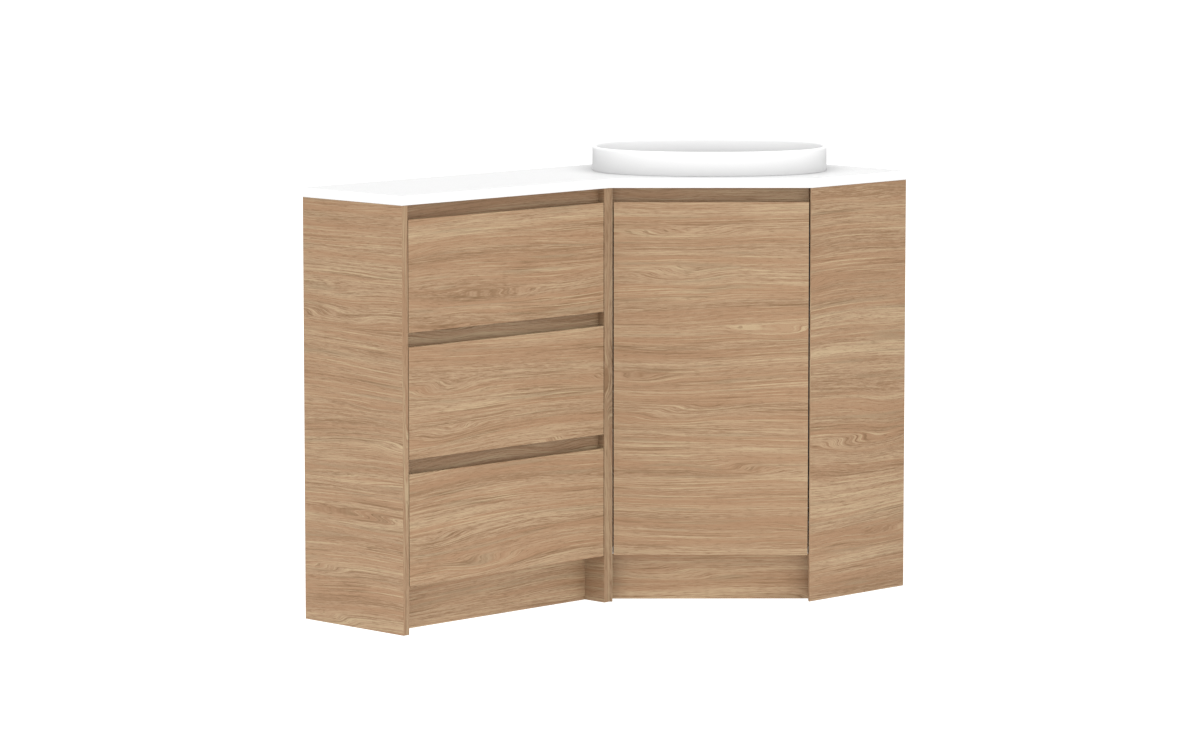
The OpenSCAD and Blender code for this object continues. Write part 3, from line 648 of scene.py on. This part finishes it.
speckle_face(add, link, shader, scale=300.0, detail=1.0, roughness=(0.27, 0.02), bump=(0.02, 0.00005))

ledge_angle = math.acos((lip_height - stone_top) / (bowl_sweep + bowl_wall))


def bowl_profile(angle, wall):
    """Half axes, power and height of the bowl at angles of its quarter ellipse, pushed out by wall."""
    rise = np.sin(angle)
    return (outlet_flat + (half_length - rim_wall - outlet_flat + wall) * rise,
            outlet_flat + (half_depth - rim_wall - outlet_flat + wall) * rise,
            2 + (plan_power - 2) * rise,
            bowl_floor + bowl_sweep * (1 - np.cos(angle)) - wall * np.cos(angle))


def wall_profile(inset, height):
    """Half axes, power and height of the upright wall and the lip, inset from the outside."""
    return half_length - inset, half_depth - inset, plan_power + 0 * inset, height


def waste_profile(radius, height):
    """Half axes, power and height of round rings at the waste hole."""
    return radius, radius, 2 + 0 * radius, height


underside = bowl_floor - bowl_wall
seat = bowl_floor - flange_sink
foot = np.linspace(0, math.pi / 2, 5)
lip = np.linspace(0, math.pi, 25)
profile = [
    waste_profile(np.array([outlet_radius, outlet_radius]), np.array([seat, underside])),
    bowl_profile(np.linspace(0, ledge_angle, 40), bowl_wall),
    wall_profile(foot_round * (1 - np.sin(foot)), stone_top + foot_round * (1 - np.cos(foot))),
    wall_profile(rim_wall / 2 * (1 - np.cos(lip)), lip_height + rim_wall / 2 * np.sin(lip)),
    bowl_profile(np.linspace(math.pi / 2, 0, 81)[1:], 0),
    waste_profile(np.array([flange_seat, flange_seat]), np.array([bowl_floor, seat])),
]
basin_rings = oval_rings(*(np.concatenate(values) for values in zip(*profile)), oval_points)
basin = lofted("glazed_basin", at_basin(basin_rings), True, "root", glaze)
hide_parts("basin")

# ---------------------------------------------------------------------------------------------------
# Pop-up waste: threaded body, domed plug, rubber washer and back nut
# Turned brass plated with chrome. The flange is bedded in the basin's floor, the washer and the nut clamp
# it from below, and the plug rises on its stem through a bridge across the bore.
# ---------------------------------------------------------------------------------------------------
def plain_material(name, colour, scale, detail, roughness, bump=None):
    """A material of one colour with the fine speckle; returns (material, shader)."""
    material, add, link, shader = new_material(name)
    shader["Base Color"].default_value = colour
    speckle_face(add, link, shader, scale, detail, roughness, bump)
    return material, shader


chrome, shader = plain_material(
    "polished_chrome", (0.80, 0.81, 0.82, 1), scale=90.0, detail=4.0, roughness=(0.02, 0.10))
shader["Metallic"].default_value = 1.0
rubber, shader = plain_material(
    "black_rubber", (0.022, 0.022, 0.022, 1), scale=400.0, detail=3.0, roughness=(0.50, 0.25),
    bump=(0.2, 0.0001))

thread_pitch = 0.0023
thread_depth = 0.0008
body_low, body_high = (corner[2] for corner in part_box("waste_body"))
body_radius = 0.02145
tail_radius = 0.02095
tail_length = 0.045
bore_radius = 0.01845
root_radius = tail_radius - thread_depth
flange_radius = 0.033
flange_edge = 0.0006
flange_proud = 0.001
end_chamfer = 0.001
thread_gap = 0.002
mouth_width = 0.002
mouth_edge = 0.0008
mouth_depth = 0.0022

ring_points = 96
thread_steps = 8
tail_top = body_low + tail_length
tail_z = np.arange(body_low + thread_gap, tail_top - thread_gap, thread_pitch / thread_steps)
around = np.linspace(0, 2 * np.pi, ring_points, endpoint=False)


def revolved(radius, height):
    """Rings about the waste's axis: x = r cos t, y = r sin t, with r an array of rows or a full grid."""
    radius = np.asarray(radius, float)
    if radius.ndim == 1:
        radius = np.repeat(radius[:, None], ring_points, axis=1)
    height = np.repeat(np.asarray(height, float)[:, None], ring_points, axis=1)
    return at_basin(np.stack([radius * np.cos(around), radius * np.sin(around), height], axis=-1))


# The thread is a helix: the wall sinks by depth * (1 + cos(2 pi (z / pitch - t / 2 pi))) / 2
thread = tail_radius - thread_depth / 2 * (1 + np.cos(
    2 * np.pi * tail_z[:, None] / thread_pitch - around[None, :]))
seat_height = body_high - (flange_sink + flange_proud)
foot_profile = [(bore_radius, body_low), (root_radius, body_low), (root_radius, body_low + end_chamfer)]
flange_profile = [
    (root_radius, tail_top - end_chamfer), (tail_radius, tail_top), (body_radius, tail_top),
    (body_radius, seat_height), (flange_radius - flange_edge, seat_height),
    (flange_radius, seat_height + flange_edge), (flange_radius - flange_edge, body_high - flange_edge),
    (flange_radius - 3 * flange_edge, body_high - flange_edge / 3),
    (bore_radius + mouth_width, body_high - mouth_edge), (bore_radius, body_high - mouth_depth)]
body_rings = np.concatenate([
    revolved(*zip(*foot_profile)), revolved(thread, tail_z), revolved(*zip(*flange_profile))])
waste_body = lofted("waste_body_threaded", body_rings, True, "root", chrome, sharp=30)
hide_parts("waste_body")

bridge_depth = 0.010
bridge_height = 0.008
bridge_top = body_high - bridge_depth
bridge_bottom = bridge_top - bridge_height
bridge_half_width = 0.0045
bridge_bite = 0.001
bridge_reach = bore_radius + bridge_bite
boss_radius = 0.0065
guide_radius = 0.00405
# In plan the bridge is a bar with a round boss: r(t) = max(boss, min(width / |sin t|, reach / |cos t|))
bar = np.minimum(bridge_half_width / np.maximum(abs(np.sin(around)), 1e-6),
                 bridge_reach / np.maximum(abs(np.cos(around)), 1e-6))
outline = np.maximum(boss_radius, bar)
guide = np.full(ring_points, guide_radius)
lofted("waste_bridge", revolved(np.stack([guide, outline, outline, guide]),
                                [bridge_bottom, bridge_bottom, bridge_top, bridge_top]),
       True, "root", chrome, sharp=30)

plug_low, plug_high = (corner[2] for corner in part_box("waste_plug"))
plug_radius = 0.027
plug_height = 0.005
plug_edge = 0.0018
stem_radius = 0.004
stem_chamfer = 0.0004
edge = np.linspace(-math.pi / 2, math.pi / 2, 9)
crown = np.linspace(1, 0, 13)
plug_bottom = plug_high - plug_height
edge_middle = plug_bottom + plug_edge
crown_foot = edge_middle + plug_edge
crown_radius = plug_radius - plug_edge
plug_rings = revolved(
    np.concatenate([[0, stem_radius - stem_chamfer, stem_radius, stem_radius],
                    crown_radius + plug_edge * np.cos(edge), crown_radius * crown]),
    np.concatenate([[plug_low, plug_low, plug_low + stem_chamfer, plug_bottom],
                    edge_middle + plug_edge * np.sin(edge),
                    crown_foot + (plug_high - crown_foot) * (1 - crown ** 2)]))
plug = lofted("waste_plug_domed", plug_rings, False, "plug", chrome, sharp=50)
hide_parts("waste_plug")

washer_low, washer_high = (corner[2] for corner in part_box("waste_washer"))
washer_radius = 0.0285
washer_bore = 0.02185
washer_round = 0.0008
corner = np.linspace(0, math.pi / 2, 5)
washer_rings = revolved(
    np.concatenate([[washer_bore], washer_radius - washer_round * (1 - np.sin(corner)),
                    washer_radius - washer_round * (1 - np.cos(corner)), [washer_bore]]),
    np.concatenate([[washer_low], washer_low + washer_round * (1 - np.cos(corner)),
                    washer_high - washer_round * (1 - np.sin(corner)), [washer_high]]))
washer = lofted("waste_washer_rounded", washer_rings, True, "root", rubber, sharp=60)
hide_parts("waste_washer")
nut_arris = 0.0006
finish_node("waste_nut", chrome, nut_arris)

# ---------------------------------------------------------------------------------------------------
# Runners, hinges, screws and cam discs
# Runners are roll-formed steel strip with bright zinc plate; hinges are pressed and nickel plated. Screws
# with a cross recess hold them to the boards, and zinc cam discs pull the drawer boxes' corners tight.
# ---------------------------------------------------------------------------------------------------
def plating_group():
    """Plated sheet steel: faint spangles in the Color, and fine rolling streaks along Y.

    Height is the noise of the streaks, and Roughness is Base + Streak Height.
    """
    group, add, link, given, result = new_group(
        "rolled_plating",
        {"Point": ("NodeSocketVector", None), "Color": ("NodeSocketColor", (0.6, 0.6, 0.6, 1)),
         "Base": ("NodeSocketFloat", 0.2), "Streak": ("NodeSocketFloat", 0.2)},
        {"Color": ("NodeSocketColor", None), "Roughness": ("NodeSocketFloat", None),
         "Height": ("NodeSocketFloat", None)})
    rolled = add("ShaderNodeMapping", {"Scale": (1800, 40, 1800)})
    link(given["Point"], rolled.inputs["Vector"])
    lines = add("ShaderNodeTexNoise", {"Scale": 1.0, "Detail": 3.0})
    link(rolled.outputs[0], lines.inputs["Vector"])
    spangle = add("ShaderNodeTexVoronoi", {"Scale": 260.0})
    link(given["Point"], spangle.inputs["Vector"])
    shade = add("ShaderNodeMix", {"Factor": 0.10}, data_type="RGBA")
    link(given["Color"], shade.inputs[6])
    link(spangle.outputs["Color"], shade.inputs[7])
    grey = add("ShaderNodeHueSaturation", {"Saturation": 0.15})
    link(shade.outputs[2], grey.inputs["Color"])
    link(grey.outputs[0], result["Color"])
    height = lines.outputs["Fac"]
    rough = math_adder(add, link)("MULTIPLY_ADD", height, given["Streak"], given["Base"])
    link(height, result["Height"])
    link(rough, result["Roughness"])
    return group


rolled_plating = plating_group()


def plated_steel(name, colour, roughness, streak):
    """Steel sheet with the rolled plating in that colour."""
    material, add, link, shader = new_material(name)
    shader["Metallic"].default_value = 1.0
    place = add("ShaderNodeTexCoord")
    plating = add("ShaderNodeGroup", {"Color": colour, "Base": roughness, "Streak": streak},
                  node_tree=rolled_plating)
    link(place.outputs["Object"], plating.inputs["Point"])
    link(plating.outputs["Color"], shader["Base Color"])
    link(plating.outputs["Roughness"], shader["Roughness"])
    bump = add("ShaderNodeBump", {"Strength": 0.1, "Distance": 0.00005})
    link(plating.outputs["Height"], bump.inputs["Height"])
    link(bump.outputs[0], shader["Normal"])
    return material


zinc = plated_steel("zinc_plated_steel", (0.62, 0.64, 0.66, 1), roughness=0.24, streak=0.20)
nickel = plated_steel("nickel_plated_steel", (0.66, 0.64, 0.60, 1), roughness=0.16, streak=0.14)
bend_radius = 0.0004

for number in (1, 2, 3):
    for name in (f"drawer_{number}_slides", f"runner_{number}_rails"):
        finish_node(name, zinc, bend_radius)
    finish_node(f"runner_{number}_cages", zinc)
for name in ("hinge_cups", "hinge_links", "hinge_arms", "hinge_plates"):
    finish_node(name, nickel, bend_radius)


def screw_heads(name, places, outward, head, body, material):
    """Domed heads with a cross recess at places, their axis along outward, all in one piece.

    head is (radius, rise). On a polar grid r, t the height is rise (1 - (r / radius)^4), less sunk times
    rise inside the cross, whose arms are arm_width wide to each side and arm_reach long, as shares of the
    radius. The rim goes seated deep into the board.
    """
    radius, rise = head
    arm_width, arm_reach, sunk, seated = 0.16, 0.62, 0.6, 0.0002
    places = np.array(places, float)
    outward = np.array(outward, float) / np.linalg.norm(outward)
    upward = np.array([0.0, 0.0, 1.0])
    sideways = np.cross(upward, outward)
    spokes, steps = 48, 13
    t = np.linspace(0, 2 * np.pi, spokes, endpoint=False)
    r = np.linspace(0, 1, steps)[:, None]
    x, y = r * np.cos(t), r * np.sin(t)
    cross = (np.minimum(abs(x), abs(y)) < arm_width) & (np.maximum(abs(x), abs(y)) < arm_reach)
    height = rise * (1 - r ** 4 - sunk * cross)
    height[-1] = -seated
    local = radius * (x[..., None] * sideways + y[..., None] * upward) + height[..., None] * outward
    points = places[:, None, None, :] + local
    i, j = np.arange(steps - 1)[:, None], np.arange(spokes)[None, :]
    quads = np.stack([i * spokes + j, (i + 1) * spokes + j, (i + 1) * spokes + (j + 1) % spokes,
                      i * spokes + (j + 1) % spokes], axis=-1).reshape(-1, 4)
    back = ((steps - 1) * spokes + np.arange(spokes))[::-1]
    faces = []
    for offset in np.arange(len(places)) * steps * spokes:
        faces += (quads + offset).tolist() + [(back + offset).tolist()]
    mesh = bpy.data.meshes.new(name)
    mesh.from_pydata(points.reshape(-1, 3), [], faces)
    heads = bmesh.new()
    heads.from_mesh(mesh)
    bmesh.ops.remove_doubles(heads, verts=heads.verts, dist=1e-7)
    heads.to_mesh(mesh)
    heads.free()
    mesh.materials.append(material)
    piece = bpy.data.objects.new(name, mesh)
    bpy.context.scene.collection.objects.link(piece)
    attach(piece, body)
    return piece


runner_sheet = 0.0012
rail_screws = (0.030, 0.125, 0.215)
rail_head = (0.0034, 0.0003)
slide_screws = (0.040, 0.195)
slide_head = (0.0036, 0.0014)
for number in (1, 2, 3):
    low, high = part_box(f"runner_{number}_rails")
    middle = (low[2] + high[2]) / 2
    for side, end, outward in (("left", 0, 1), ("right", 1, -1)):
        rail_face = (low, high)[end][0] + outward * runner_sheet
        screw_heads(f"runner_{number}_screws_{side}",
                    [(rail_face, low[1] + along, middle) for along in rail_screws],
                    (outward, 0, 0), rail_head, "root", zinc)
        slide_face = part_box(f"drawer_{number}_side_{side}")[end][0] - outward * runner_sheet
        screw_heads(f"drawer_{number}_slide_screws_{side}",
                    [(slide_face, low[1] + along, middle) for along in slide_screws],
                    (-outward, 0, 0), slide_head, f"drawer_{number}", zinc)

hinge_heights = (0.195, 0.755)
door_start = np.array([0.0, 0.002, 0.0])
along_door = np.array([math.sqrt(0.5), -math.sqrt(0.5), 0.0])
into_door = np.array([math.sqrt(0.5), math.sqrt(0.5), 0.0])
cup_middle = 0.39696
cup_flange_face = 0.0172
cup_screw_reach = 0.0195
cup_head = (0.0034, 0.0009)
cup_centre = door_start + cup_middle * along_door + cup_flange_face * into_door
screw_heads("hinge_cup_screws",
            [cup_centre + [0, 0, height + side]
             for height in hinge_heights for side in (-cup_screw_reach, cup_screw_reach)],
            into_door, cup_head, "door", nickel)
plate_low, plate_high = (np.array(corner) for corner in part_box("hinge_plates"))
plate_middle = (plate_low[0] + plate_high[0]) / 2
plate_screw_reach = 0.01733
plate_head = (0.0038, 0.0013)
screw_heads("hinge_plate_screws",
            [(plate_middle, plate_high[1], height + side)
             for height in hinge_heights for side in (-plate_screw_reach, plate_screw_reach)],
            (0, 1, 0), plate_head, "root", nickel)
arm_rise = 0.007
adjuster_reach = 0.016
clamp_reach = 0.006
arm_head = (0.0034, 0.0008)
arm_screws = (plate_low[0] - adjuster_reach, plate_middle + clamp_reach)
screw_heads("hinge_arm_screws",
            [(x, plate_high[1] + arm_rise, height) for height in hinge_heights for x in arm_screws],
            (0, 1, 0), arm_head, "root", nickel)

# The discs lie in the inner faces of the drawers' sides
cam_disc = (0.0075, 0.0004)
cam_inset = 0.034
cam_heights = (0.032, 0.118)
for number in (1, 2, 3):
    for side, end, outward in (("left", 1, 1), ("right", 0, -1)):
        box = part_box(f"drawer_{number}_side_{side}")
        screw_heads(f"drawer_{number}_cams_{side}",
                    [(box[end][0], box[0][1] + cam_inset, box[0][2] + height) for height in cam_heights],
                    (outward, 0, 0), cam_disc, f"drawer_{number}", zinc)

# ---------------------------------------------------------------------------------------------------
# Levelling legs and door bumpers
# The legs are moulded in black polypropylene with a fine sparked texture. The bumpers are clear
# polyurethane domes stuck behind the door's free edge.
# ---------------------------------------------------------------------------------------------------
moulded_round = 0.0006
pad_round = 0.0004

leg_plastic, shader = plain_material(
    "moulded_black_plastic", (0.030, 0.030, 0.032, 1), scale=1600.0, detail=2.0, roughness=(0.32, 0.25),
    bump=(0.3, 0.0001))
finish_node("levelling_legs", leg_plastic, moulded_round)

clear_pad, shader = plain_material(
    "clear_polyurethane", (0.93, 0.94, 0.94, 1), scale=500.0, detail=2.0, roughness=(0.12, 0.15))
shader["Transmission Weight"].default_value = 0.85
shader["IOR"].default_value = 1.47
finish_node("door_bumpers", clear_pad, pad_round)
